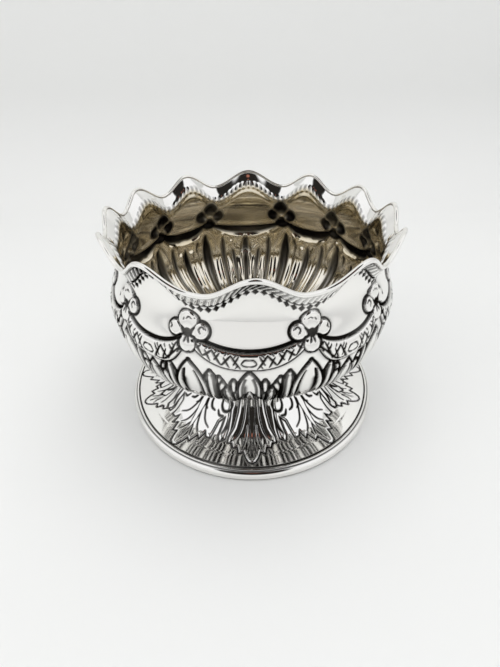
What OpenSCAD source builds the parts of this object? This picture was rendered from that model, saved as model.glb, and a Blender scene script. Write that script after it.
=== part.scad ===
// Footed sugar bowl of chased silver: a raised bowl with a wavy, turned-out edge,
// a wire soldered along that edge, a spreading foot, and a moulded wire round the foot.
// The origin is the centre of the foot's resting face, +Z is up, and -Y is the front,
// which one of the crests of the rim faces.

/* [Bowl] */
// Radius of the bowl at its widest
belly_r = 55.4; // [50:0.2:58]
// Height of that widest place
belly_h = 56; // [52:0.5:58]
// Height of the flat seat under the bowl, where the foot is soldered on
seat_h = 26.5; // [25:0.1:30]
// Radius of the neck, below the turned-out edge
neck_r = 50.2; // [48:0.2:52]
// Height at which the wall has drawn in to the neck
neck_h = 76; // [70:0.5:77]
// Thickness of the silver sheet
sheet = 0.7; // [0.6:0.1:1.1]

/* [Rim] */
// Radius of the edge wire's centre line at the top of a wave
crest_r = 55.2; // [54:0.1:57]
// Height of that centre line at the top of a wave
crest_h = 86.6; // [84:0.2:90]
// How much nearer to the axis the centre line is between two waves
dip_r = 1.0; // [0:0.1:2]
// How far the centre line dips between two waves
dip_h = 6.2; // [2:0.2:8]
// Width of the front wave, in degrees
front_wave = 32; // [26:1:40]
// Width of the back wave, in degrees
back_wave = 36; // [28:1:44]
// Length of the part of the wall that turns outward
lip_h = 9; // [6:0.5:10]
// Radius of the edge wire
wire_r = 0.8; // [0.7:0.05:1.3]

/* [Foot] */
// Outer radius of the foot wire
foot_r = 58; // [54:0.5:62]
// Height of the foot wire
foot_wire_h = 4.6; // [4:0.1:6]
// Radius of the stem where it meets the bowl
stem_r = 12; // [11:0.5:14]
// Radius at which the flat border of the foot turns up into its dome
plate_r = 46; // [44:0.5:48]

/* [Hidden] */
waves = 12;
side_waves = [32.5, 31.5, 25, 28, 29];  // shares of the other five waves, on each side from the front
side_leans = [1.4, 1.1, 1.1, 1, 1];     // how far their crests lean to the back: 1 is not at all
steps = 10;                  // stations along each wave
stations = waves * steps;
belly_power = 3;             // squareness of the bowl's lower curve
seat_r = stem_r + 2.5;       // the flat seat runs a little past the stem
seam = 0.15;                 // thickness of the solder under the edge wire
fillet = 1.4;                // leg of the solder fillet round the stem
flat_share = 0.7;            // half width of the flat on the edge wire, as a share of the wire's radius
flat_half = flat_share * wire_r;
flat_at = sqrt(wire_r * wire_r - flat_half * flat_half);
foot_wire_w = 2.8;           // radial width of the foot wire
plate_edge_r = foot_r - foot_wire_w;
plate_edge_h = foot_wire_h;  // top of the foot's sheet at its outer edge
plate_in_h = plate_edge_h + 0.7;  // the border of the foot rises a little inwards
border_w = 6;                // width over which the border turns up into the dome
shoulder = [26.5, 18.2];     // where the dome of the foot passes into its stem
shoulder_slope = 0.47;       // rise over run at the shoulder
shoulder_hold = 7;           // how far to each side the shoulder keeps that slope
stem_flare = 0.8;            // how much wider the stem is just under the bowl
stem_top = 4.2;              // height of that straight top part of the stem
smooth = 160;

function ease(t) = t <= 0 ? 0 : t >= 1 ? 1 : t * t * (3 - 2 * t);
function unit(v) = v / norm(v);
function left_of(v) = [-v[1], v[0]];

// The waves are numbered round the rim: 0 is the front one and the two sides mirror each other.
// side_of is how many waves wave w is from the front.
function side_of(w) = min(w, waves - w);
function sum(list, n) = n < 0 ? 0 : list[n] + sum(list, n - 1);
share = (360 - front_wave - back_wave) / 2 / sum(side_waves, len(side_waves) - 1);
function wave_width(w) =
    w == 0 ? front_wave : side_of(w) == waves / 2 ? back_wave : share * side_waves[side_of(w) - 1];
function wave_start(w) = w == 0 ? -front_wave / 2 : wave_start(w - 1) + wave_width(w - 1);
function lean(w) = w == 0 || side_of(w) == waves / 2 ? 1 : side_leans[side_of(w) - 1];

// Angle of station i from the front, and how high it is on its wave: 1 on a crest, 0 in a dip.
function station_angle(i) =
    let (w = floor(i / steps)) wave_start(w) + wave_width(w) * (i - w * steps) / steps;
function crest(i) =
    let (w = floor(i / steps), t = (i - w * steps) / steps, u = w > waves / 2 ? 1 - t : t)
    (1 - cos(360 * pow(u, lean(w)))) / 2;

// The edge wire's centre, and the end of the bowl's sheet, in the plane of station i.
sheet_way = unit([1, 1]);    // the turned-out edge points up and out at 45 degrees
function wire_centre(i) = [crest_r - dip_r * (1 - crest(i)), crest_h - dip_h * (1 - crest(i))];
function sheet_end(i) = wire_centre(i) - sheet_way * (flat_at + seam);

// Middle of the bowl's sheet, from the seat to the edge, in the plane of station i.
low_h = belly_h - seat_h;
function low_r(z) = belly_r * pow(1 - pow((belly_h - z) / low_h, belly_power), 1 / belly_power);
function body_r(z) = belly_r - (belly_r - neck_r) * ease((z - belly_h) / (neck_h - belly_h));
low_rows = [for (a = [20 : 9 : 83]) belly_h - low_h * cos(a)];
wall_rows = 4;
lip_rows = 5;
function wall_line(i) =
    let (e = sheet_end(i), lip_z = e[1] - lip_h)
    concat(
        [[seat_r, seat_h + sheet / 2]],
        [for (z = low_rows) if (low_r(z) > seat_r + 2) [low_r(z), z + sheet / 2 * (belly_h - z) / low_h]],
        [for (k = [0 : wall_rows - 1]) let (z = belly_h + (lip_z - belly_h) * k / wall_rows) [body_r(z), z]],
        [for (k = [0 : lip_rows]) let (t = k / lip_rows, r = body_r(lip_z))
            [r + (e[0] - r) * t * t, lip_z + lip_h * t]]);

// Way along the line at point k, square to the seat at its start and along the sheet at its end.
function way(line, k) =
    k == 0 ? [1, 0] : k == len(line) - 1 ? sheet_way : unit(line[k + 1] - line[k - 1]);
function beside(line, gap) = [for (k = [0 : len(line) - 1]) line[k] - left_of(way(line, k)) * gap];

// A point of the plane at angle a from the front, in space.
function turned(p, a) = [p[0] * sin(a), -p[0] * cos(a), p[1]];

// A closed solid from one outline for each station: capped = true closes the first and last
// points of the outlines with flat discs, and false joins the last point to the first.
module swept(outlines, capped) {
    n = len(outlines[0]);
    m = capped ? n - 2 : n - 1;
    sides = [for (i = [0 : stations - 1], k = [0 : m]) let (j = (i + 1) % stations, l = (k + 1) % n)
        each [[i * n + k, j * n + k, i * n + l], [j * n + k, j * n + l, i * n + l]]];
    caps = [[for (i = [stations - 1 : -1 : 0]) i * n], [for (i = [0 : stations - 1]) i * n + n - 1]];
    points = [for (i = [0 : stations - 1], p = outlines[i]) turned(p, station_angle(i))];
    polyhedron(points, capped ? concat(sides, caps) : sides, convexity = 10);
}

function reversed(list) = [for (k = [len(list) - 1 : -1 : 0]) list[k]];

// The bowl: one raised sheet with a flat seat, a full belly, a drawn-in neck and a turned-out edge.
module bowl() {
    color("silver")
    swept([for (i = [0 : stations - 1]) let (line = wall_line(i))
        concat(beside(line, sheet / 2), reversed(beside(line, -sheet / 2)))], true);
}

// A point beside the edge: along is up the sheet's way, across is towards the inside of the bowl.
function by_edge(i, along, across) = wire_centre(i) + sheet_way * along + left_of(sheet_way) * across;

// The wire along the edge: round, with a flat where it sits on the sheet.
module rim_wire() {
    start = asin(flat_half / wire_r);
    arc = 8;
    color("gainsboro")
    swept([for (i = [0 : stations - 1]) [for (k = [0 : arc]) let (a = 180 - start - (360 - 2 * start) * k / arc)
        by_edge(i, wire_r * cos(a), -wire_r * sin(a))]], false);
}

// The solder between the wire's flat and the end of the bowl's sheet.
module rim_solder() {
    low = -flat_at - seam;
    color("lightgray")
    swept([for (i = [0 : stations - 1]) [
        by_edge(i, low, -sheet / 2), by_edge(i, -flat_at, -sheet / 2),
        by_edge(i, -flat_at, sheet / 2), by_edge(i, low, sheet / 2)]], false);
}

function bezier(p, t) =
    pow(1 - t, 3) * p[0] + 3 * t * pow(1 - t, 2) * p[1] + 3 * t * t * (1 - t) * p[2] + pow(t, 3) * p[3];

// Top surface of the foot's sheet, from its outer edge to the top of the stem: a flat border,
// a dome that rises to the shoulder, and a short stem that flares out of it.
shoulder_way = unit([-1, shoulder_slope]);
border_rise = (plate_in_h - plate_edge_h) * border_w / (plate_edge_r - plate_r);
dome_curve = [[plate_r, plate_in_h], [plate_r - border_w, plate_in_h + border_rise],
    shoulder - shoulder_way * shoulder_hold, shoulder];
stem_curve = [shoulder, shoulder + shoulder_way * shoulder_hold,
    [stem_r + stem_flare, seat_h - stem_top], [stem_r, seat_h]];
foot_line = concat([[plate_edge_r, plate_edge_h]], [for (t = [0 : 0.1 : 0.9]) bezier(dome_curve, t)],
    [for (t = [0 : 0.1 : 1]) bezier(stem_curve, t)]);
function foot_way(k) =
    k == 0 ? [-1, 0] : k == len(foot_line) - 1 ? [0, 1] : unit(foot_line[k + 1] - foot_line[k - 1]);
foot_under = [for (k = [0 : len(foot_line) - 1]) foot_line[k] + left_of(foot_way(k)) * sheet];

// The foot: a flat border that rises in a dome to a short stem.
module foot() {
    color("silver") rotate_extrude($fn = smooth) polygon(concat(foot_line, reversed(foot_under)));
}

// The fillet of solder in the corner between the stem and the bowl's seat.
module foot_joint_solder() {
    low = bezier(stem_curve, 0.9);
    wide = [stem_r + fillet, seat_h];
    sag = 0.2;               // how far the fillet's face is hollowed
    hollow = (low + wide) / 2 + [-sag, sag];
    color("lightgray") rotate_extrude($fn = smooth) polygon([low, bezier(stem_curve, 1), wide, hollow]);
}

// The moulded wire round the foot: a small bead, a groove, and a full rounded band down to the table.
groove_r = foot_r - 1.7;     // radius of the groove between band and bead
bead_r = (groove_r - plate_edge_r) / 2;
band_h = foot_wire_h - 0.6;  // the band is a little lower than the bead
bead_lift = 0.1;             // the bead's centre stands this far above the band
band_mid = 0.42;             // height of the band's widest place, as a share of its own height
base_in = 0.5;               // how far the resting face stays inside the widest place
module foot_wire() {
    color("gainsboro") rotate_extrude($fn = smooth)
    polygon(concat(
        [[plate_edge_r, 0], [foot_r - base_in, 0]],
        [for (a = [-45 : 15 : 90])
            [groove_r + (foot_r - groove_r) * cos(a), band_h * (band_mid + (1 - band_mid) * sin(a))]],
        [for (a = [0 : 30 : 180]) [groove_r - bead_r + bead_r * cos(a), band_h + bead_lift + bead_r * sin(a)]]));
}

// The fillet of solder in the corner under the plate, against the inside of the foot wire.
module foot_wire_solder() {
    leg = 1.2;
    top = plate_edge_h - sheet;
    color("lightgray") rotate_extrude($fn = smooth)
    polygon([[plate_edge_r, top - leg], [plate_edge_r, top],
        [plate_edge_r - leg, top + leg * (plate_in_h - plate_edge_h) / (plate_edge_r - plate_r)]]);
}

bowl();
rim_wire();
rim_solder();
foot();
foot_joint_solder();
foot_wire();
foot_wire_solder();
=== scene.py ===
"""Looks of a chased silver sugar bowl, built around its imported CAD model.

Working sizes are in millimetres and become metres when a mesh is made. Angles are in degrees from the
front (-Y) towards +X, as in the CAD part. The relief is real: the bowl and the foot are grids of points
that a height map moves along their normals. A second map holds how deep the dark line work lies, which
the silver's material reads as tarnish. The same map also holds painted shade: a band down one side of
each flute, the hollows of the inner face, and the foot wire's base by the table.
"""

import math

import bpy
import numpy as np
from mathutils import Matrix, Vector


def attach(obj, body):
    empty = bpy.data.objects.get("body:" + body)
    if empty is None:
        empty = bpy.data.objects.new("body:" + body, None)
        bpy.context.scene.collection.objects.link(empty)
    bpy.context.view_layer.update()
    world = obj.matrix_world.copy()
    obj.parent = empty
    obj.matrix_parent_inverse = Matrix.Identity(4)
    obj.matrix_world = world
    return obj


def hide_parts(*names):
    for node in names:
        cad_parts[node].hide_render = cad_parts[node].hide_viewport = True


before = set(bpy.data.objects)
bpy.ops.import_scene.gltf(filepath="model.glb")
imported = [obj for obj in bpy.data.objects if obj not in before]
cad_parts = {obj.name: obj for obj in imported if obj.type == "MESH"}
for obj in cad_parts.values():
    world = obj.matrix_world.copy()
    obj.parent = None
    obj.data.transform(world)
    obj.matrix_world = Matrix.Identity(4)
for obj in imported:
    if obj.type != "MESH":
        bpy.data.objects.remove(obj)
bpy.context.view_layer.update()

# ---------------------------------------------------------------- sizes of the CAD part, in mm
BELLY_R, BELLY_H, BELLY_POWER = 55.4, 56.0, 3.0
SEAT_H, SHEET = 26.5, 0.7
THIN_SHEET = 0.3  # the metal that is left behind the deepest cuts
NECK_R, NECK_H = 50.2, 76.0
CREST_R, CREST_H, DIP_R, DIP_H = 55.2, 86.6, 1.0, 6.2
LIP_H = 9.0
WAVES, FRONT_WAVE, BACK_WAVE = 12, 32.0, 36.0
SIDE_WAVES = [32.5, 31.5, 25, 28, 29]
SIDE_LEANS = [1.4, 1.1, 1.1, 1, 1]
WIRE_R, WIRE_SEAM = 0.8, 0.15
FLAT_SHARE = 0.7  # half the width of the rim wire's flat, as a share of its radius
FOOT_R, FOOT_WIRE_W, FOOT_WIRE_H = 58.0, 2.8, 4.6
STEM_R, PLATE_R = 12.0, 46.0
LOW_H = BELLY_H - SEAT_H
SEAT_R = STEM_R + 2.5  # the bowl's flat bottom
WIRE_FLAT = WIRE_R * math.sqrt(1 - FLAT_SHARE ** 2)
PLATE_EDGE_R = FOOT_R - FOOT_WIRE_W
PLATE_IN_H = FOOT_WIRE_H + SHEET

# ---------------------------------------------------------------- how finely the surfaces are made
BOWL_COLUMNS, FOOT_COLUMNS, WIRE_COLUMNS = 1200, 960, 720
FINE_STEP, FOOT_STEP, COARSE_STEP = 0.31, 0.36, 0.8
COARSE_TOP = SEAT_H + 4.0  # below this height the foot hides the bowl, and its rows are coarser
WALL_ROWS = 100
CHART_TOP = 92.0  # above the highest crest

# ---------------------------------------------------------------- how the chasing is cut
CUT_SCALE = 1.35
LINE_FILL = 1.7  # how fully tarnish fills a cut, from 1 for its very bottom upwards
BOWL_SHIFT, FOOT_SHIFT = 2.0, 1.3  # degrees by which the chasing sits to the left, at the front and back


def ease(t):
    t = np.clip(t, 0, 1)
    return t * t * (3 - 2 * t)


def bell(x):
    return np.exp(-x * x)


def shifted(angle, shift):
    return angle - shift * math.cos(math.radians(angle))


def nearest(angles, angle, reach):
    """Which columns lie within reach degrees of an angle, in order, and how far from it they are."""
    away = (angles - angle + 180) % 360 - 180
    columns = np.nonzero(np.abs(away) < reach)[0]
    columns = columns[np.argsort(away[columns])]
    return columns, np.radians(away[columns])


def crest_at(angle):
    """1 on the crest of a rim wave and 0 in a dip."""
    a = (np.asarray(angle) + FRONT_WAVE / 2) % 360
    share = (360 - FRONT_WAVE - BACK_WAVE) / 2 / sum(SIDE_WAVES)
    side = [share * width for width in SIDE_WAVES]
    widths = np.array([FRONT_WAVE] + side + [BACK_WAVE] + side[::-1])
    leans = np.array([1] + SIDE_LEANS + [1] + SIDE_LEANS[::-1])
    starts = np.concatenate([[0], np.cumsum(widths)])
    w = np.clip(np.searchsorted(starts, a, side="right") - 1, 0, WAVES - 1)
    t = np.clip((a - starts[w]) / widths[w], 0, 1)
    t = np.where(w > WAVES // 2, 1 - t, t)
    return (1 - np.cos(2 * np.pi * t ** leans[w])) / 2


def wire_centre(angle):
    """Radius and height of the rim wire's centre."""
    low = 1 - crest_at(angle)
    return CREST_R - DIP_R * low, CREST_H - DIP_H * low


def sheet_end(angle):
    """Radius and height of the end of the sheet, which meets the wire's flat at 45 degrees."""
    r, z = wire_centre(angle)
    back = (WIRE_FLAT + WIRE_SEAM) / math.sqrt(2)
    return r - back, z - back


def body_r(z):
    """The radius of the bowl's wall between its belly and its neck."""
    return BELLY_R - (BELLY_R - NECK_R) * ease((z - BELLY_H) / (NECK_H - BELLY_H))


# ---------------------------------------------------------------- relief maps
class Relief:
    """Maps over a grid of points: x runs round the surface in mm and y along it.

    high and line are the height and the tarnished line work of the outer face, where line also holds
    painted shade down one side of the flutes. inner is the height of the inner face, where the chasing shows
    as softer hollows and ridges, and the last map is painted shade in those hollows, cleared along the
    ridges as painted highlights.
    """
    MAPS = ("high", "line", "inner", "soot")

    def __init__(self, angles, y, radius):
        self.angles, self.y, self.radius = angles, y, radius
        for name in self.MAPS:
            setattr(self, name, np.zeros_like(y))

    def at(self, angle, half, low, top):
        """The part of the maps within half mm of an angle, and between two values of y."""
        columns, turn = nearest(self.angles, shifted(angle, BOWL_SHIFT), math.degrees(half / self.radius))
        rows = np.nonzero((self.y.max(1) > low) & (self.y.min(1) < top))[0]
        y = self.y[np.ix_(rows, columns)]
        return Patch(self, rows, columns, np.broadcast_to(turn * self.radius, y.shape), y)


class Flat(Relief):
    """Relief over the foot, drawn on its plan: x across a leaf and y out along it from the axis."""

    def at(self, angle, spread):
        columns, turn = nearest(self.angles, shifted(angle, FOOT_SHIFT), spread)
        rows = np.arange(len(self.radius))
        radius = self.radius[np.ix_(rows, columns)]
        return Patch(self, rows, columns, radius * np.sin(turn), radius * np.cos(turn))


class Patch:
    """A part of the maps that one shape is drawn on."""

    def __init__(self, relief, rows, columns, x, y):
        self.relief, self.cells = relief, np.ix_(rows, columns)
        self.x, self.y = x, y
        for name in relief.MAPS:
            setattr(self, name, getattr(relief, name)[self.cells])

    def save(self):
        for name in self.relief.MAPS:
            getattr(self.relief, name)[self.cells] = getattr(self, name)

    def over(self, inside, high, line):
        """A shape on top of what is there: inside is 1 where it covers, and 0 outside."""
        self.high = self.high * (1 - inside) + high * inside
        self.line = self.line * (1 - inside) + line * inside

    def over_inner(self, inside, hollow, soot):
        """The same on the inner face, where what is raised outside is a hollow, and the dark laid there is
        painted shade.
        """
        self.inner = self.inner * (1 - inside) + hollow * inside
        self.soot = self.soot * (1 - inside) + soot * inside

    def ridge(self, distance, width, height):
        """A bright ridge on the inner face, width mm to each side of where distance is 0: raised, and
        cleared of painted shade as a painted highlight.
        """
        near = ease(1 - np.abs(distance) / width)
        self.inner = self.inner - height * near
        self.soot = self.soot * (1 - near)

    def groove(self, distance, width, depth, where=1.0):
        """A dark cut that is width mm to each side of where distance is 0."""
        near = (1 - np.abs(distance) / width) * where
        self.high = self.high - depth * ease(near)
        self.line = np.maximum(self.line, ease(near * LINE_FILL))

    def cut(self, points, width, depth):
        """A groove along a path, thinner towards its ends."""
        distance, along = to_path(self.x, self.y, points)
        taper = 0.45 + 0.55 * np.sin(np.pi * np.clip(along, 0, 1)) ** 0.6
        self.groove(distance, width * CUT_SCALE * taper, depth)


def to_path(x, y, points):
    """Distance to a path of straight pieces, and how far along it the nearest place is, from 0 to 1."""
    p = np.asarray(points, float)
    lengths = np.hypot(*np.diff(p, axis=0).T)
    total, done = lengths.sum(), 0.0
    best, along = np.full(x.shape, 1e9), np.zeros(x.shape)
    for a, b, length in zip(p[:-1], p[1:], lengths):
        t = np.clip(((x - a[0]) * (b[0] - a[0]) + (y - a[1]) * (b[1] - a[1])) / max(length**2, 1e-9), 0, 1)
        d = np.hypot(x - a[0] - t * (b[0] - a[0]), y - a[1] - t * (b[1] - a[1]))
        near = d < best
        best, along = np.where(near, d, best), np.where(near, (done + t * length) / total, along)
        done += length
    return best, along


def to_outline(x, y, points):
    """Signed distance to a closed outline: below 0 inside."""
    d, _ = to_path(x, y, list(points) + [points[0]])
    p = np.asarray(points, float)
    inside = np.zeros(x.shape, bool)
    for a, b in zip(p, np.roll(p, -1, 0)):
        crosses = (a[1] > y) != (b[1] > y)
        with np.errstate(divide="ignore", invalid="ignore"):
            at = a[0] + (y - a[1]) * (b[0] - a[0]) / (b[1] - a[1])
        inside ^= crosses & (x < at)
    return np.where(inside, -d, d)


def curve(points, per=6):
    """A smooth path through points (Catmull-Rom)."""
    p = np.asarray(points, float)
    p = np.vstack([2 * p[0] - p[1], p, 2 * p[-1] - p[-2]])
    out = []
    for i in range(1, len(p) - 2):
        for t in np.linspace(0, 1, per, endpoint=False):
            out.append(0.5 * (2 * p[i] + (p[i + 1] - p[i - 1]) * t
                              + (2 * p[i - 1] - 5 * p[i] + 4 * p[i + 1] - p[i + 2]) * t * t
                              + (3 * p[i] - p[i - 1] - 3 * p[i + 1] + p[i + 2]) * t ** 3))
    return np.array(out + [p[-2]])


def mirrored(points):
    return [(-x, y) for x, y in points]


def blur(values, across, along):
    """A box blur done three times, which is close to a Gaussian one."""
    out = values
    for _ in range(3):
        total = np.zeros_like(out)
        for k in range(-across, across + 1):
            total += np.roll(out, k, axis=1)
        out = total / (2 * across + 1)
        padded = np.pad(out, ((along, along), (0, 0)), mode="edge")
        total = np.zeros_like(out)
        for k in range(2 * along + 1):
            total += padded[k:k + out.shape[0]]
        out = total / (2 * along + 1)
    return out


def lowest(values, reach):
    """The lowest value within reach cells of each place."""
    out = values
    for k in range(1, reach + 1):
        out = np.minimum(out, np.minimum(np.roll(values, k, axis=1), np.roll(values, -k, axis=1)))
    padded = np.pad(out, ((reach, reach), (0, 0)), mode="edge")
    for k in range(2 * reach + 1):
        out = np.minimum(out, padded[k:k + out.shape[0]])
    return out


# ---------------------------------------------------------------- ornament of the bowl
FLOWER_ANGLES = [20.5, 51.5, 78.0, 102.0, 128.5, 159.5]
ALL_FLOWERS = [-a for a in reversed(FLOWER_ANGLES)] + FLOWER_ANGLES
FLOWER_Y = 10.6  # of a flower's centre, above the belly
PETALS = [(-0.2, 3.8, 3.5), (4.3, 1.0, 2.85), (-4.3, 0.7, 2.6), (0.0, -3.6, 2.75)]  # x, y and radius
PETAL_RIBS = (38, 142, 205, 335, 255, 285)  # degrees round the flower
FLOWER_REACH = 10.0  # of a flower and the small cuts round it


def flower(relief, angle, turn):
    """Four domed petals round a drilled centre. turn is 1 or -1: which side petal curls."""
    p = relief.at(angle, FLOWER_REACH, 1, 22)
    x, y = p.x * turn, p.y - FLOWER_Y
    each = np.array([np.hypot(x - a, y - b) - r for a, b, r in PETALS])
    order = np.sort(each, axis=0)
    reach = np.hypot(x, y)
    edge = np.minimum(order[0], reach - 2.8)
    gap = order[1] - order[0]
    dome = 0.75 * np.sqrt(np.clip(-edge / 0.9, 0, 1)) + 0.2
    high = dome - 0.35 * bell(gap / 0.4) - 0.6 * bell(reach / 1.7)
    between = ease(1.5 - gap / (0.3 + 0.9 * ease(1 - reach / 4.6))) * (order[0] < 0.3)
    centre = ease((1.75 - reach) / 0.35)
    p.over(ease(0.5 - edge / 0.5), high, np.maximum(between, centre))
    p.groove(edge - 0.24, 0.56 + 0.16 * np.sin(2 * np.arctan2(y, x) + 1), 0.45)
    grown = order[0] - 1.0
    hollow = 1.0 * np.clip(-grown / 2.2, 0, 1) ** 0.6
    # inside, painted shade fills each petal's hollow, and the ridges between and round the petals clear it
    # as painted highlights
    p.over_inner(ease(0.5 - grown / 0.6), hollow, 0.8 + 0.2 * ease((reach - 2.2) / 1.5))
    p.ridge(np.where(reach < 6, gap, 9), 0.8, 0.55)
    p.ridge(reach, 1.9, 0.6)
    curl = [(5.0 + 1.1 * math.cos(t), 12.0 + 1.2 * math.sin(t)) for t in (0.4, 1.7, 3.0, 4.3)]
    for path, width, depth in (([(-0.6, 15.0), (0.3, 15.9), (1.3, 15.2)], 0.34, 0.2),
                               ([(-1.7, 14.4), (-1.2, 15.3)], 0.3, 0.2),
                               (curve(curl), 0.36, 0.25),
                               ([(-5.9, 12.6), (-5.4, 11.6), (-6.0, 10.9)], 0.32, 0.2)):
        p.cut([(turn * a, b) for a, b in path], width, depth)
    p.cut([(-1.3, 4.9), (-0.6, 4.3), (0.4, 4.5), (1.2, 5.1)], 0.32, 0.2)
    for degrees in PETAL_RIBS:
        c, s = math.cos(math.radians(degrees)), math.sin(math.radians(degrees))
        p.cut([(r * c, FLOWER_Y + r * s) for r in (1.2, 3.2)], 0.42, 0.3)
    p.save()


WIDE_GARLAND = 17.0  # garlands that reach further than this to each side hang flatter
BACK_GARLAND_DROP = 2.0
RIBBON_STEP = 2.9


def garland(relief, angle, half):
    """A swag from flower to flower, half mm to each side of an angle."""
    p = relief.at(angle, half + 2, -7, 14)
    wide = half > WIDE_GARLAND
    low = BACK_GARLAND_DROP if angle == 180 else 0

    def edges(u):
        """The upper and lower edge, u of the way from the middle to the end."""
        held = np.clip(u, 0, 1.1)
        if wide:
            return 6.3 - low + (4.0 - 0.6 * low) * u ** 2, -0.1 - 1.2 * low + (7.4 - 0.4 * low) * held ** 2.6
        return 5.2 + 4.6 * u ** 2.4, -2.6 + 9.6 * held ** 3.6

    def spot(at, across):
        """A place on the swag: at mm along from its middle, across from -1 (lower edge) to 1."""
        a, b = edges(min(abs(at) / half, 1))
        return at, (a + b) / 2 + across * (a - b) / 2

    def path(side, *places):
        return [spot(side * at, across) for at, across in places]

    y, u = p.y, np.abs(p.x) / half
    top, foot = edges(u)
    wide_by = np.maximum((top - foot) / 2, 0.05)
    v = (y - (top + foot) / 2) / wide_by
    cover = ease((1 - np.abs(v)) * wide_by / 0.5) * (u < 1)
    full = ease(wide_by / 2.2)
    p.over(cover, 1.1 * np.clip(1 - v ** 4, 0, 1) * full, 0)
    # inside, painted shade darkens the swag's trough, and a ridge along its lower edge clears it as a
    # painted highlight
    p.over_inner(cover, 1.3 * np.clip(1 - v ** 2, 0, 1) ** 0.6 * full, ease((v + 0.75) / 0.5))
    p.ridge(np.where(u < 1, y - foot + 0.5, 9), 1.0, 0.5)
    p.groove(y - top - 0.2, 0.75 if wide else 0.9, 0.8, u < 0.99)
    p.groove(y - foot, 0.6, 0.45, u < 0.99)

    for side in (-1, 1):
        ribbons = np.arange(2.6, half * 0.82, RIBBON_STEP)
        for step, at in enumerate(ribbons):
            lean = 1 if step % 2 == 0 else -1
            ribbon = [(at, -0.62 * lean), (at + 1.5, 0.0), (at + RIBBON_STEP, 0.62 * lean)]
            crossing = [(at + 0.5, 0.62 * lean), (at + 1.5, 0.05 * lean), (at + 2.2, -0.3 * lean)]
            p.cut(path(side, *ribbon), 0.46, 0.25)
            p.cut(path(side, *crossing), 0.4, 0.22)
            p.cut(path(side, (at + 1.3, 0.72), (at + 1.9, 0.45)), 0.28, 0.16)
        p.cut(curve(path(side, (2.4, -0.1), (1.4, 0.28), (0, 0.36))), 0.36, 0.25)
        p.cut(curve(path(side, (2.4, -0.1), (1.4, -0.3), (0, -0.34))), 0.36, 0.25)
        p.cut(path(side, (2.6, -0.7), (3.4, -0.25), (4.2, -0.7)), 0.3, 0.2)
        if not wide:
            fold = [(0.9, -0.3), (0.72, -0.25), (0.45, -0.62), (0.2, -0.5)]
            p.cut(curve(path(side, *((half * at, across) for at, across in fold))), 0.45, 0.35)
    p.save()


INNER_LEAF = 1.8  # half width from which a lobe comes through to the inner face
RIB_AT = 0.6  # where a leaf's ribs run, as a share of its half width
LEAF_BASE = -52.0  # y of the leaves' lower ends, out of sight beside the seat


def flute(relief, angle, offset, half, tip, rim, deep, ribs=True, lean=0.0, base=LEAF_BASE):
    """A leaf or lobe of the lower border: a raised rim round a hollow, pointed at the top."""
    p = relief.at(angle, abs(offset) + half + abs(lean) + 3, base - 1, tip + 2)
    down = tip - p.y
    x = p.x - offset - lean * np.clip(down / (tip - base), 0, 1)
    grow = np.clip(down / (2.3 * half), 0, 1)
    width = half * np.sin(np.pi / 2 * grow) ** 0.85 * (1 - 0.12 * ease((down - 8) / 25)) + 1e-6
    outside = np.where(down < 0, np.hypot(x, down), np.abs(x) - width)
    cover = ease(0.5 - outside / 0.45)
    u = np.clip(np.abs(x) / np.maximum(width, 0.2), 0, 1.3)
    swell = rim * (1 - u ** 6) - deep * bell((u - RIB_AT) / 0.16) * ease(down / (1.1 * half))
    swell = swell - 0.35 * deep * ease((RIB_AT - u) / 0.2)
    p.over(cover, swell, 0)
    fade = ease((p.y - base) / 4)
    if half > INNER_LEAF:
        # inside, painted shade fills the middle of the leaf's hollow, and a ridge along its outline clears
        # it as a painted highlight
        p.over_inner(cover, 1.2 * np.clip(1 - u * u, 0, 1) ** 0.7, 0.95 * ease((0.62 - u) / 0.3))
        p.ridge(outside, 0.95, 0.6 * fade)
    p.groove(outside - 0.25, 0.88, 0.55, fade)
    if ribs:
        rib = np.where(down > 1.1 * half * RIB_AT, np.abs(np.abs(x) - width * RIB_AT), 9)
        near = (1 - rib / 0.72) * fade
        p.high = p.high - 0.15 * ease(near)
        p.line = np.maximum(p.line, 0.9 * ease(near * LINE_FILL))
        # painted shade: a dark band down the side of the hollow away from the bowl's front, laid into the
        # line work
        turned = x * (1 if angle > 0 else -1)
        shade = bell((np.clip(turned / np.maximum(width, 0.2), -1, 1) - 0.38) / 0.2)
        p.line = np.maximum(p.line, 0.95 * shade * ease((down - half * 1.1) / 2) * fade)
    p.save()


def lobes(relief, angle, places):
    """The smaller lobes on both sides of a leaf, the outermost lowest."""
    for offset, half, tip in sorted(places, key=lambda lobe: -lobe[0]):
        for side in (-1, 1):
            flute(relief, angle, side * offset, half, tip, 0.6, 0.6, ribs=half > 1.5)


def lower_border(relief):
    """Leaves that rise from the foot: a large one under each flower and a smaller one between two."""
    between = [(a + b) / 2 for a, b in zip(ALL_FLOWERS, ALL_FLOWERS[1:]) if b - a < 35]
    for angle in ALL_FLOWERS:
        lobes(relief, angle, [(7.2, 1.9, -1.3), (10.1, 1.3, -3.4)])
    for angle in between:
        lobes(relief, angle, [(4.6, 1.2, -6.6)])
        flute(relief, angle, 0, 3.7, -4.2, 0.9, 1.1)
    for angle in (0, 180):
        for side in (-1, 1):
            flute(relief, angle, side * 8.6, 1.3, -5.6, 0.5, 0.5, ribs=False)
            flute(relief, angle, side * 5.0, 0.95, -4.4, 0.6, 0.4, ribs=False, base=-13.0)
            flute(relief, angle, side * 7.4, 1.9, -8.0, 0.8, 0.8, lean=side * -4.5)
            flute(relief, angle, side * 4.2, 1.2, -10.2, 0.6, 0.6, ribs=False, lean=side * -2.0)
        flute(relief, angle, 0, 3.8, -0.8, 0.9, 0.6)
        flute(relief, angle, 0, 3.1, -9.8, 0.3, 1.6)
    for angle in ALL_FLOWERS:
        flute(relief, angle * 0.985, 0, 5.6, 1.5, 1.0, 1.4)


ROPE_LOBES, ROPE_W, ROPE_LEAN = 165, 4.0, 1.4
PUNCHES, PUNCH_DOWN, BEAD_DOWN = 144, 5.75, 5.4


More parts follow.
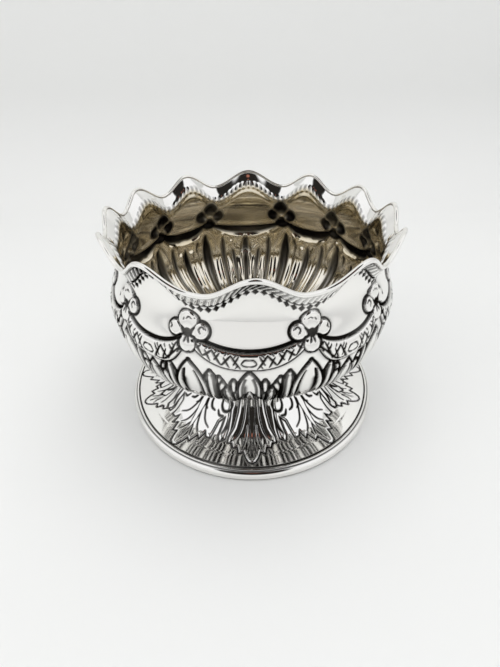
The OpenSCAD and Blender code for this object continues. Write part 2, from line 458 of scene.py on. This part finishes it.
def border(relief, down):
    """The rope and the row of diamond punches that follow the rim. down is mm below the sheet's edge."""
    turn = np.radians(relief.angles)[None, :]
    dips = 1 - crest_at(relief.angles)[None, :]
    rope = np.abs(np.sin(turn * ROPE_LOBES / 2 + (down - ROPE_W / 2) * ROPE_LEAN * (1 - 0.6 * dips)))
    band = ease((down - 0.2) / 0.3) * ease((ROPE_W - down) / 0.35)
    relief.high += band * (0.6 * rope ** 0.7 - 0.15)
    gaps = ease((1 - rope / (1.15 - 0.35 * dips)) * 2.6) * band
    relief.line = np.maximum(relief.line, gaps * (1 - 0.6 * dips))
    for at, width, strength in ((ROPE_W + 0.2, 0.66, 1.0), (0.25, 0.5, 1.0 - 0.6 * dips)):
        edge_line = ease((1 - np.abs(down - at) / width) * LINE_FILL) * strength
        relief.high -= 0.3 * edge_line
        relief.line = np.maximum(relief.line, edge_line)
    # equal steps along the waving rim, so that the punches stay evenly apart
    r, z = sheet_end(relief.angles)
    rise = np.hypot(np.diff(np.append(r, r[0])), np.diff(np.append(z, z[0])))
    step = np.hypot(rise, r * 2 * np.pi / len(r))
    along = np.concatenate([[0], np.cumsum(step)[:-1]]) / step.sum()
    across = np.abs((along * PUNCHES + 0.5) % 1 - 0.5)[None, :] * (step.sum() / PUNCHES)
    pit = 1 - (across / 1.35 + np.abs(down - PUNCH_DOWN) / 1.5)
    relief.high -= 0.7 * ease(pit / 0.9)
    relief.line = np.maximum(relief.line, ease(pit / 0.22))
    # inside, the row comes through as bright beads with dark gaps of painted shade
    row = ease((1.5 - np.abs(down - BEAD_DOWN)) / 0.5)
    relief.inner -= 0.5 * row * ease((0.95 - across) / 0.5)
    relief.soot = np.maximum(relief.soot, 0.9 * row * ease((across - 0.72) / 0.25))


# ---------------------------------------------------------------- meshes
def spin(radius, height, angles):
    """Points round the axis from their radius, height and angle."""
    a = np.radians(angles)
    return np.stack([radius * np.sin(a), -radius * np.cos(a), height], -1)


def shell(name, rings, maps, capped):
    """A mesh of rings of points, closed round each ring.

    capped closes the first and the last ring with a centre point. Otherwise the last ring meets the first.
    """
    rows, cols, _ = rings.shape
    points = rings.reshape(-1, 3)
    here = np.arange(cols)
    beside = (here + 1) % cols
    low = np.arange(rows - 1 if capped else rows)[:, None] * cols
    high = (low + cols) % (rows * cols)
    quads = np.stack([low + here, low + beside, high + beside, high + here], -1).reshape(-1, 4)
    loops = quads.reshape(-1)
    starts = np.arange(len(quads)) * 4
    totals = np.full(len(quads), 4)
    if capped:
        centre, last = len(points), (rows - 1) * cols
        points = np.vstack([points, rings[0].mean(0), rings[-1].mean(0)])
        first_cap = np.stack([beside, here, np.full(cols, centre)], -1)
        last_cap = np.stack([last + here, last + beside, np.full(cols, centre + 1)], -1)
        tris = np.vstack([first_cap, last_cap])
        starts = np.concatenate([starts, len(loops) + np.arange(len(tris)) * 3])
        totals = np.concatenate([totals, np.full(len(tris), 3)])
        loops = np.concatenate([loops, tris.reshape(-1)])
        maps = {key: np.append(value, [0, 0]) for key, value in maps.items()}
    mesh = bpy.data.meshes.new(name)
    mesh.vertices.add(len(points))
    mesh.vertices.foreach_set("co", (points / 1000).astype(np.float32).reshape(-1))
    mesh.loops.add(len(loops))
    mesh.loops.foreach_set("vertex_index", loops.astype(np.int32))
    mesh.polygons.add(len(starts))
    mesh.polygons.foreach_set("loop_start", starts.astype(np.int32))
    mesh.polygons.foreach_set("loop_total", totals.astype(np.int32))
    mesh.update(calc_edges=True)
    mesh.shade_smooth()
    for key, value in maps.items():
        layer = mesh.attributes.new(key, "FLOAT", "POINT")
        layer.data.foreach_set("value", value.astype(np.float32).reshape(-1))
    mesh.validate()
    piece = bpy.data.objects.new(name, mesh)
    bpy.context.scene.collection.objects.link(piece)
    return piece


def normals_of(r, z):
    """Unit normals of rows of profile points, to the right of the way that the rows go."""
    dr, dz = np.gradient(r, axis=0), np.gradient(z, axis=0)
    size = np.hypot(dr, dz) + 1e-9
    return dz / size, -dr / size


def spaced(r, z, steps):
    """Points along a profile, with steps(height) mm from one to the next."""
    s = np.concatenate([[0], np.cumsum(np.hypot(np.diff(r), np.diff(z)))])
    at = [0.0]
    while at[-1] < s[-1]:
        at.append(at[-1] + steps(np.interp(at[-1], s, z)))
    at = np.array(at) * s[-1] / at[-1]
    return np.interp(at, s, r), np.interp(at, s, z)


def belly_curve(count, first=0.0):
    """The curved bottom of the bowl from its axis, or from first degrees up, to the belly."""
    t = np.radians(np.linspace(first, 90, count))
    r = BELLY_R * np.sin(t) ** (2 / BELLY_POWER)
    return r, BELLY_H - LOW_H * np.cos(t) ** (2 / BELLY_POWER)


def bowl_middle(angles):
    """The middle of the bowl's sheet from the seat to the edge: rows of radius and height."""
    low_r, low_z = belly_curve(2000, 0.5)
    low_z = low_z + SHEET / 2 * (BELLY_H - low_z) / LOW_H
    curved = low_r > SEAT_R + 1
    floor_r = [3.0, 7.0, 11.0, SEAT_R]
    low_r = np.concatenate([floor_r, low_r[curved]])
    low_z = np.concatenate([[SEAT_H + SHEET / 2] * len(floor_r), low_z[curved]])
    low_r, low_z = spaced(low_r, low_z, lambda h: COARSE_STEP if h < COARSE_TOP else FINE_STEP)
    k = np.linspace(0, 1, WALL_ROWS + 1)[1:, None]
    end_r, end_z = sheet_end(angles)
    z = BELLY_H + (end_z - BELLY_H) * k
    lip_z = end_z - LIP_H
    t = np.clip((z - lip_z) / LIP_H, 0, 1)
    r = np.where(t > 0, body_r(lip_z) + (end_r - body_r(lip_z)) * t * t, body_r(z))
    many = np.ones(len(angles))
    return np.vstack([low_r[:, None] * many, r]), np.vstack([low_z[:, None] * many, z])


def distance_from_belly(r, z):
    """Distance along the bowl's plain profile from its belly: positive above it."""
    low_r, low_z = belly_curve(3000)
    up_z = np.linspace(BELLY_H, CHART_TOP, 800)[1:]
    chart_r, chart_z = np.concatenate([low_r, body_r(up_z)]), np.concatenate([low_z, up_z])
    s = np.concatenate([[0], np.cumsum(np.hypot(np.diff(chart_r), np.diff(chart_z)))])
    s -= np.interp(BELLY_H, chart_z, s)
    # the height gives the place on the profile, but near the seat the radius does
    flat = z < BELLY_H - 0.75 * LOW_H
    return np.where(flat, np.interp(r, low_r, s[:len(low_r)]), np.interp(z, chart_z, s))


def wander(angles, rows, seed, size):
    """The slow unevenness of hand work, about size mm high."""
    rng = np.random.default_rng(seed)
    a = np.radians(angles)[None, :]
    total = np.zeros((len(rows), len(angles)))
    for n in range(2, 9):
        phase, drift = rng.uniform(0, 2 * np.pi), rng.uniform(-2, 2)
        total += rng.normal() / n * np.sin(n * a + phase + drift * rows[:, None])
    return size * total


def make_bowl():
    angles = np.arange(BOWL_COLUMNS) * 360 / BOWL_COLUMNS
    r, z = bowl_middle(angles)
    y = distance_from_belly(r, z)
    steps = np.hypot(np.diff(r, axis=0), np.diff(z, axis=0))
    down = np.vstack([np.cumsum(steps[::-1], axis=0)[::-1], np.zeros(len(angles))])
    relief = Relief(angles, y, BELLY_R)
    lower_border(relief)
    for left, right in zip(ALL_FLOWERS, ALL_FLOWERS[1:] + [ALL_FLOWERS[0] + 360]):
        garland(relief, (left + right) / 2, np.radians(right - left) / 2 * BELLY_R - 1.0)
    for angle in ALL_FLOWERS:
        flower(relief, angle, -1 if angle > 0 else 1)
    border(relief, down)

    # however deep the outer face is cut, the inner one keeps clear of it
    off_seat = ease((r - SEAT_R) / 3)
    high = relief.high * ease(down / 0.5) * off_seat
    low = np.minimum(relief.inner, lowest(relief.high, 3) + SHEET - THIN_SHEET)
    low = blur(low, 1, 1) * ease(down / 0.5) * off_seat * ease((down - 3.0) / 2.0)
    calm = ease((down - 2) / 12) * ease((r - SEAT_R) / 12)
    uneven = wander(angles, np.linspace(0, 3, len(r)), 7, 0.16) * calm
    nr, nz = normals_of(r, z)
    outer, inner = SHEET / 2 + high + uneven, low + uneven - SHEET / 2
    outside = spin(r + nr * outer, z + nz * outer, angles)
    inside = spin(r + nr * inner, z + nz * inner, angles)[::-1]

    hollow = np.clip((blur(relief.high, 5, 5) - blur(relief.high, 1, 1)) / 0.8, 0, 1)
    tarnish_and_shade = np.clip(relief.line + 0.8 * hollow, 0, 1)
    # painted shade of the inner face: weaker low down, to leave painted highlights there, and none near the
    # rim
    soot = blur(relief.soot, 1, 1) * (1 - 0.3 * ease((-12 - y) / 12)) * ease(down - 3.5)
    # the warm film is the inside's own tone; it fades lower down, which paints the upper interior darker as
    # painted shade and leaves the lower interior bright as a painted highlight
    film_and_shade = ease((down - 4.5) / 2.5) * (1 - 0.35 * ease((-2 - y) / 9))
    maps = {"tarnish_and_shade": np.concatenate([tarnish_and_shade, soot[::-1]]),
            "inside": np.concatenate([np.zeros_like(film_and_shade), film_and_shade[::-1]])}
    return shell("bowl_chased", np.concatenate([outside, inside]), maps, capped=True)


def make_rim_wire():
    """A round wire with a flat where it meets the end of the sheet."""
    angles = np.arange(BOWL_COLUMNS) * 360 / BOWL_COLUMNS
    r, z = wire_centre(angles)
    start = math.degrees(math.asin(FLAT_SHARE))
    around = np.radians(np.linspace(180 - start, start - 180, 19))[:, None]
    across, along = -np.sin(around), np.cos(around)
    rr = r + (along - across) * WIRE_R / math.sqrt(2)
    zz = z + (along + across) * WIRE_R / math.sqrt(2)
    many = np.ones(len(angles))
    seam = ease((-along - 0.55) / 0.2) * 0.5 * ease(0.5 - across)
    maps = {"tarnish_and_shade": seam * many, "inside": 0.08 * ease(0.5 + across * 0.8) * many}
    return shell("rim_wire_drawn", spin(rr, zz, angles), maps, capped=False)


# ---------------------------------------------------------------- the foot
def bezier(p, t):
    p, t = np.asarray(p, float), np.asarray(t)[:, None]
    return (1 - t) ** 3 * p[0] + 3 * t * (1 - t) ** 2 * p[1] + 3 * t * t * (1 - t) * p[2] + t ** 3 * p[3]


SHOULDER, SHOULDER_SLOPE, SHOULDER_HOLD = np.array([26.5, 18.2]), 0.47, 7.0
SHOULDER_REACH = SHOULDER_HOLD * np.array([-1, SHOULDER_SLOPE]) / math.hypot(1, SHOULDER_SLOPE)
DOME_CURVE = [(PLATE_R, PLATE_IN_H), (PLATE_R - 6, PLATE_IN_H + 0.46), SHOULDER - SHOULDER_REACH, SHOULDER]
STEM_CURVE = [SHOULDER, SHOULDER + SHOULDER_REACH, (STEM_R + 0.8, SEAT_H - 4.2), (STEM_R, SEAT_H)]
WIDE_LEAVES = [-37.3, 37.3, -90.0, 90.0, -142.7, 142.7]
NARROW_LEAVES = [0.0, -68.0, 68.0, -112.0, 112.0, 180.0]
WIDE_HALF = [(2.2, 14), (5, 20), (9, 26), (13, 32), (15.5, 37), (16.6, 40.6), (15.2, 42.6), (13.6, 41.2),
             (12.9, 37.5), (12.1, 34.4), (10.5, 37), (10.7, 41), (11, 43.6), (9.2, 44.1), (7.6, 42.4),
             (7.4, 46.6), (5.7, 45.2), (4.7, 49.6), (3.0, 48.6), (2.4, 51.5), (1.6, 53.8), (0, 54.6)]
NARROW_HALF = [(2.6, 14), (3.4, 22), (4.6, 29), (5.6, 34), (7.2, 38.5), (9.6, 41.8), (10.0, 43.8),
               (8.2, 44.0), (7.7, 46.3), (5.9, 45.8), (5.4, 48.9), (3.4, 48.1), (2.6, 50.6), (1.4, 52.6),
               (0, 53.2)]
MIDRIB = [(1.5, 15), (1.5, 33), (0.6, 44), (0.15, 51)]


def foot_leaf(relief, angle, half, veins, spread):
    """A chased leaf. half and veins are its right-hand side, which the left mirrors."""
    p = relief.at(angle, spread)
    d = to_outline(p.x, p.y, half + mirrored(reversed(half[:-1])))
    p.over(ease(0.5 - d / 0.4), 0.2 * ease(-d / 0.9), 0)
    p.groove(d - 0.12, 0.56, 0.28)
    for side in (mirrored, list):
        p.cut(side(MIDRIB), 0.26, 0.08)
        for path, width in veins:
            p.cut(curve(side(path)), width * 0.9, 0.18)
    p.save()


WIDE_VEINS = [
    ([(1.6, 31), (2.2, 35), (3.8, 38.2), (5.4, 39.8), (7.8, 40.8)], 0.5),
    ([(1.1, 37), (1.8, 40), (3.0, 42.6), (4.9, 44.4)], 0.48),
    ([(0.9, 42.8), (1.7, 45), (2.8, 47.6)], 0.44),
    ([(1.2, 32.8), (1.8, 34.8), (3.3, 35.8)], 0.56),
    ([(3.8, 30.6), (3.9, 33.0), (5.0, 34.5), (6.8, 34.8)], 0.62),
    ([(7.9, 29.4), (8.6, 32.0), (10.5, 33.2), (12.4, 32.0), (12.5, 29.8), (11.2, 29.0)], 0.62),
    ([(8.0, 34.0), (9.5, 35.2), (11.3, 34.6)], 0.56),
    ([(14.0, 39.8), (14.7, 36.6), (13.8, 33.2)], 0.8),
    ([(2.2, 21.0), (4.6, 22.0), (5.6, 24.6), (4.2, 26.4), (2.6, 25.2), (3.4, 23.8)], 0.46),
    ([(5.6, 20.5), (8.2, 23.5), (8.6, 26.6), (6.8, 27.6), (5.9, 26.0)], 0.46),
]
NARROW_VEINS = [
    ([(2.4, 30), (3.2, 36), (5.0, 40.6), (7.6, 43.2)], 0.42),
    ([(1.8, 38), (2.4, 42), (3.9, 46.6)], 0.42),
    ([(1.0, 45), (1.4, 48), (2.2, 49.6)], 0.36),
]


def make_foot():
    angles = np.arange(FOOT_COLUMNS) * 360 / FOOT_COLUMNS
    dome, stem = bezier(DOME_CURVE, np.linspace(0, 1, 200)), bezier(STEM_CURVE, np.linspace(0, 1, 200))
    line = np.vstack([[PLATE_EDGE_R, FOOT_WIRE_H], dome, stem[1:]])
    r, z = spaced(line[:, 0], line[:, 1], lambda h: FOOT_STEP)
    r, z = r[:, None], z[:, None]
    nr, nz = normals_of(r, z)
    relief = Flat(angles, z * np.ones(len(angles)), r * np.ones(len(angles)))
    for angle in NARROW_LEAVES:
        foot_leaf(relief, angle, NARROW_HALF, NARROW_VEINS, 24)
    for angle in WIDE_LEAVES:
        foot_leaf(relief, angle, WIDE_HALF, WIDE_VEINS, 40)
    relief.high -= 0.06 * ease(1 - np.abs(relief.radius - 49.6) / 0.5)
    relief.line = np.maximum(relief.line, ease((relief.radius - PLATE_EDGE_R + 0.75) / 0.35))

    fade = ease((r - STEM_R - 0.6) / 4) * ease((PLATE_EDGE_R - r) / 0.6)
    uneven = wander(angles, np.linspace(0, 2, len(r)), 11, 0.05) * fade
    upper = relief.high * fade + uneven
    lower = blur(relief.high, 2, 2) * 0.8 * fade + uneven - SHEET
    rows = np.arange(len(r) - 1, -1, -2)
    if rows[-1] != 0:
        rows = np.append(rows, 0)
    low_r, low_z = (r + nr * lower)[rows], (z + nz * lower)[rows]
    low_r[-1] = PLATE_EDGE_R
    rings = [spin(r + nr * upper, z + nz * upper, angles), spin(low_r, low_z, angles)]

    hollow = np.clip((blur(relief.high, 4, 4) - relief.high) / 0.5, 0, 1)
    tarnish_and_shade = np.clip(relief.line + 0.3 * hollow, 0, 1)
    maps = {"tarnish_and_shade": np.concatenate([tarnish_and_shade, np.full(low_r.shape, 0.12)]),
            "inside": np.concatenate([np.zeros_like(tarnish_and_shade), np.full(low_r.shape, 0.8)])}
    return shell("foot_chased", np.concatenate(rings), maps, capped=False)


def make_foot_wire():
    """A moulded wire: a quarter-round band, and a small bead on top of it round the plate."""
    angles = np.arange(WIRE_COLUMNS) * 360 / WIRE_COLUMNS
    groove_r, band_h, band_mid = FOOT_R - 1.7, FOOT_WIRE_H - 0.6, 0.42
    bead_r = (groove_r - PLATE_EDGE_R) / 2
    line = [(PLATE_EDGE_R, 0.0), (FOOT_R - 0.5, 0.0)]
    for a in np.radians(np.linspace(-45, 90, 22)):
        rise = band_mid + (1 - band_mid) * math.sin(a)
        line.append((groove_r + (FOOT_R - groove_r) * math.cos(a), band_h * rise))
    for a in np.radians(np.linspace(0, 180, 13)):
        line.append((groove_r - bead_r + bead_r * math.cos(a), band_h + 0.1 + bead_r * math.sin(a)))
    line.append((PLATE_EDGE_R, band_h / 2))
    r, z = np.array(line).T[:, :, None]
    in_groove = 0.95 * bell((r - groove_r) / 0.34) * bell((z - band_h) / 0.5)
    # painted shade: the band's outer face darkens just above its bottom edge, where it meets the table
    shade_at_table = 0.8 * bell((z - 0.7) / 0.35) * (r > groove_r)
    many = np.ones(len(angles))
    maps = {"tarnish_and_shade": np.maximum(in_groove, shade_at_table) * many, "inside": 0 * r * many}
    return shell("foot_wire_moulded", spin(r * many, z * many, angles), maps, capped=False)


# ---------------------------------------------------------------- silver
CLEAN, SOLDER_TONE = (0.94, 0.93, 0.905), (0.80, 0.78, 0.74)
# the darkest colour serves tarnish and painted shade alike; the warm film's colour also paints shade, where
# it fades lower inside the bowl
WARM_FILM_AND_SHADE, WORN, TARNISH_AND_SHADE = (0.80, 0.70, 0.50), (0.70, 0.68, 0.64), (0.016, 0.014, 0.012)
EDGE_TINT, DARK_EDGE_TINT = (1.0, 1.0, 1.0), (0.05, 0.05, 0.05)  # tarnish and painted shade stay dark at a slant too


def plug(tree, socket, value):
    """Give a socket a link, a colour or a number."""
    if hasattr(value, "links"):
        tree.links.new(value, socket)
    else:
        socket.default_value = (*value, 1.0) if isinstance(value, tuple) else value


def mixed(tree, factor, a, b):
    """The colour a, turning into b as factor goes from 0 to 1."""
    made = tree.nodes.new("ShaderNodeMix")
    made.data_type = "RGBA"
    for place, value in (("Factor", factor), ("A", a), ("B", b)):
        plug(tree, next(socket for socket in made.inputs if socket.name == place and socket.enabled), value)
    return next(socket for socket in made.outputs if socket.enabled)


def silver(name, clean=CLEAN, gloss=0.05, use_maps=True):
    """Polished silver: darker and rougher in the line work, warmer inside, with faint marks of use.

    use_maps reads the mesh's own map of tarnish and painted shade, and its warm film, whose fall-off paints
    shade inside the bowl. Without it, both are a slow cloudiness.
    """
    mat = bpy.data.materials.new(name)
    mat.use_nodes = True
    tree = mat.node_tree
    nodes, links = tree.nodes, tree.links
    shader = nodes["Principled BSDF"]
    shader.inputs["Metallic"].default_value = 1.0

    def node(kind, **values):
        made = nodes.new(kind)
        for key, value in values.items():
            if hasattr(made, key):
                setattr(made, key, value)
            else:
                made.inputs[key].default_value = value
        return made

    def maths(operation, *values, clamp=False):
        made = node("ShaderNodeMath", operation=operation, use_clamp=clamp)
        for place, value in enumerate(values):
            plug(tree, made.inputs[place], value)
        return made.outputs[0]

    def noise(scale, detail, stretch=None):
        made = node("ShaderNodeTexNoise", Scale=scale, Detail=detail)
        source = node("ShaderNodeTexCoord").outputs["Object"]
        if stretch:
            lay = node("ShaderNodeMapping", Scale=stretch, Rotation=(0.5, 0.3, 0.9))
            links.new(source, lay.inputs["Vector"])
            source = lay.outputs[0]
        links.new(source, made.inputs["Vector"])
        return made.outputs["Fac"]

    cloud, grain = noise(45, 1.0), noise(900, 2.0)
    scratch = noise(260, 2.0, (1.0, 14.0, 14.0))
    if use_maps:
        tarnish_and_shade = node("ShaderNodeAttribute", attribute_name="tarnish_and_shade").outputs["Fac"]
        inside = node("ShaderNodeAttribute", attribute_name="inside").outputs["Fac"]
    else:
        tarnish_and_shade, inside = maths("MULTIPLY", cloud, 0.35), maths("MULTIPLY", cloud, 0.4)
    # dark is tarnish, and painted shade where the map holds it
    dark = maths("MULTIPLY", tarnish_and_shade, maths("MULTIPLY_ADD", cloud, 0.5, 0.72), clamp=True)
    # film is the warm film inside, and where it fades lower in the bowl it paints shade
    film_and_shade = maths("MULTIPLY", inside, maths("MULTIPLY_ADD", cloud, 0.7, 0.45), clamp=True)
    tone = mixed(tree, film_and_shade, clean, WARM_FILM_AND_SHADE)
    tone = mixed(tree, maths("MULTIPLY", scratch, 0.05), tone, WORN)
    links.new(mixed(tree, dark, tone, TARNISH_AND_SHADE), shader.inputs["Base Color"])
    links.new(mixed(tree, dark, EDGE_TINT, DARK_EDGE_TINT), shader.inputs["Specular Tint"])
    rough = maths("MULTIPLY_ADD", dark, 0.42, gloss)
    rough = maths("ADD", rough, maths("MULTIPLY", grain, 0.035))
    rough = maths("ADD", rough, maths("MULTIPLY", film_and_shade, 0.06))
    links.new(rough, shader.inputs["Roughness"])
    relief = node("ShaderNodeBump", Strength=0.12, Distance=0.00006)
    links.new(maths("ADD", cloud, maths("MULTIPLY", scratch, 0.01)), relief.inputs["Height"])
    links.new(relief.outputs["Normal"], shader.inputs["Normal"])
    return mat


# ---------------------------------------------------------------- the pieces
sheet_silver = silver("silver_sheet_look")
wire_silver = silver("silver_wire_look", gloss=0.09)
solder_silver = silver("silver_solder_look", clean=SOLDER_TONE, gloss=0.22, use_maps=False)
for make, node_name, slot, look in ((make_bowl, "bowl", "silver_sheet", sheet_silver),
                                    (make_rim_wire, "rim_wire", "silver_wire", wire_silver),
                                    (make_foot, "foot", "silver_sheet", sheet_silver),
                                    (make_foot_wire, "foot_wire", "silver_wire", wire_silver)):
    piece = make()
    piece.data.materials.append(look)
    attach(piece, "root")
    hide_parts(node_name)
for node_name in ("rim_solder", "foot_joint_solder", "foot_wire_solder"):
    for material_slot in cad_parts[node_name].material_slots:
        material_slot.material = solder_silver

# ---------------------------------------------------------------- floor, light and camera, in metres
FLOOR_HALF, WALL_Y, WALL_H, COVE_R = 1.6, 0.33, 1.5, 0.10
PAPER, PAPER_ROUGH = (0.83, 0.835, 0.825), 0.45
LOW_SKY, HIGH_SKY = (0.84, 0.84, 0.835), (0.98, 0.985, 1.0)
STRIP = ((42, 20), (52, 20), (62, 18), (70, 15), (77, 11))  # elevation and radius of its spots, in degrees
STRIP_TONE, STRIP_EDGE = (0.02, 0.018, 0.016), 5
LAMPS_AIM = (0, 0, 0.04)
HANDS_AT, HANDS_TONE = 66, (0.42, 0.16, 0.11)


def make_floor():
    """A paper sweep: a floor that curves up into a wall behind the bowl."""
    bends = np.radians(np.linspace(6, 84, 14))
    profile = [(-FLOOR_HALF, 0.0), (WALL_Y - COVE_R, 0.0)]
    profile += [(WALL_Y - COVE_R + COVE_R * math.sin(a), COVE_R - COVE_R * math.cos(a)) for a in bends]
    profile += [(WALL_Y, COVE_R), (WALL_Y, WALL_H)]
    sweep = bpy.data.meshes.new("studio_sweep")
    points = [(x, y, z) for y, z in profile for x in (-FLOOR_HALF, FLOOR_HALF)]
    strips = [(i, i + 1, i + 3, i + 2) for i in range(0, len(points) - 2, 2)]
    sweep.from_pydata(points, [], strips)
    sweep.shade_smooth()
    paper = bpy.data.materials.new("studio_paper")
    paper.use_nodes = True
    shader = paper.node_tree.nodes["Principled BSDF"]
    shader.inputs["Base Color"].default_value = (*PAPER, 1)
    shader.inputs["Roughness"].default_value = PAPER_ROUGH
    sweep.materials.append(paper)
    floor = bpy.data.objects.new("studio_sweep", sweep)
    bpy.context.scene.collection.objects.link(floor)


def make_surroundings():
    """White surroundings that fade towards the horizon, for the silver to reflect.

    In front of the bowl they hold one dark upright strip, for the camera and whoever stands behind it,
    and a small patch of warm colour for their hands.
    """
    world = bpy.data.worlds.new("studio")
    bpy.context.scene.world = world
    world.use_nodes = True
    tree = world.node_tree
    nodes, links = tree.nodes, tree.links
    direction = nodes.new("ShaderNodeTexCoord").outputs["Generated"]

    def toward(way, inner, outer):
        """1 within inner degrees of a direction, and 0 beyond outer degrees."""
        dot = nodes.new("ShaderNodeVectorMath")
        dot.operation = "DOT_PRODUCT"
        dot.inputs[1].default_value = way
        links.new(direction, dot.inputs[0])
        step = nodes.new("ShaderNodeMapRange")
        step.interpolation_type = "SMOOTHSTEP"
        step.inputs["From Min"].default_value = math.cos(math.radians(outer))
        step.inputs["From Max"].default_value = math.cos(math.radians(inner))
        links.new(dot.outputs["Value"], step.inputs["Value"])
        return step.outputs["Result"]

    def in_front(elevation):
        e = math.radians(elevation)
        return 0, -math.cos(e), math.sin(e)

    tone = mixed(tree, toward((0, 0, 1), 40, 92), LOW_SKY, HIGH_SKY)
    for elevation, radius in STRIP:
        tone = mixed(tree, toward(in_front(elevation), radius, radius + STRIP_EDGE), tone, STRIP_TONE)
    tone = mixed(tree, toward(in_front(HANDS_AT), 2, 5), tone, HANDS_TONE)
    links.new(tone, nodes["Background"].inputs["Color"])
    nodes["Background"].inputs["Strength"].default_value = 1.0


def make_lamp(name, place, size, power, tint=(1, 1, 1)):
    """A soft round lamp that shines on the bowl and isn't seen in its reflections."""
    lamp = bpy.data.lights.new(name, "AREA")
    lamp.shape, lamp.size, lamp.energy, lamp.color = "DISK", size, power, tint
    thing = bpy.data.objects.new(name, lamp)
    thing.location = place
    thing.rotation_euler = (Vector(LAMPS_AIM) - Vector(place)).to_track_quat("-Z", "Y").to_euler()
    thing.visible_glossy = False
    bpy.context.scene.collection.objects.link(thing)


CAMERA_AT = (-0.00298, -0.14184, 0.13473)
YAW, PITCH, ROLL = 0.016, 0.643, -0.009
FOCAL, SENSOR = 20.51, 36.0  # in mm
NEAR_CLIP = 0.005


def make_camera():
    lens = bpy.data.cameras.new("camera")
    lens.sensor_width, lens.lens, lens.clip_start = SENSOR, FOCAL, NEAR_CLIP
    ahead = Vector((math.sin(YAW) * math.cos(PITCH), math.cos(YAW) * math.cos(PITCH), -math.sin(PITCH)))
    level = Vector((math.cos(YAW), -math.sin(YAW), 0))
    steep = level.cross(ahead)
    right = level * math.cos(ROLL) + steep * math.sin(ROLL)
    up = steep * math.cos(ROLL) - level * math.sin(ROLL)
    eye = bpy.data.objects.new("camera", lens)
    eye.matrix_world = Matrix.Translation(CAMERA_AT) @ Matrix((right, up, -ahead)).transposed().to_4x4()
    bpy.context.scene.collection.objects.link(eye)
    bpy.context.scene.camera = eye
    bpy.context.scene.view_settings.view_transform = "Standard"


make_floor()
make_surroundings()
make_lamp("soft_top", (0.1, 0.0, 0.9), 0.9, 4.0)
make_lamp("soft_left", (-0.8, -0.3, 0.6), 0.6, 1.0, (1.0, 0.99, 0.97))
make_camera()
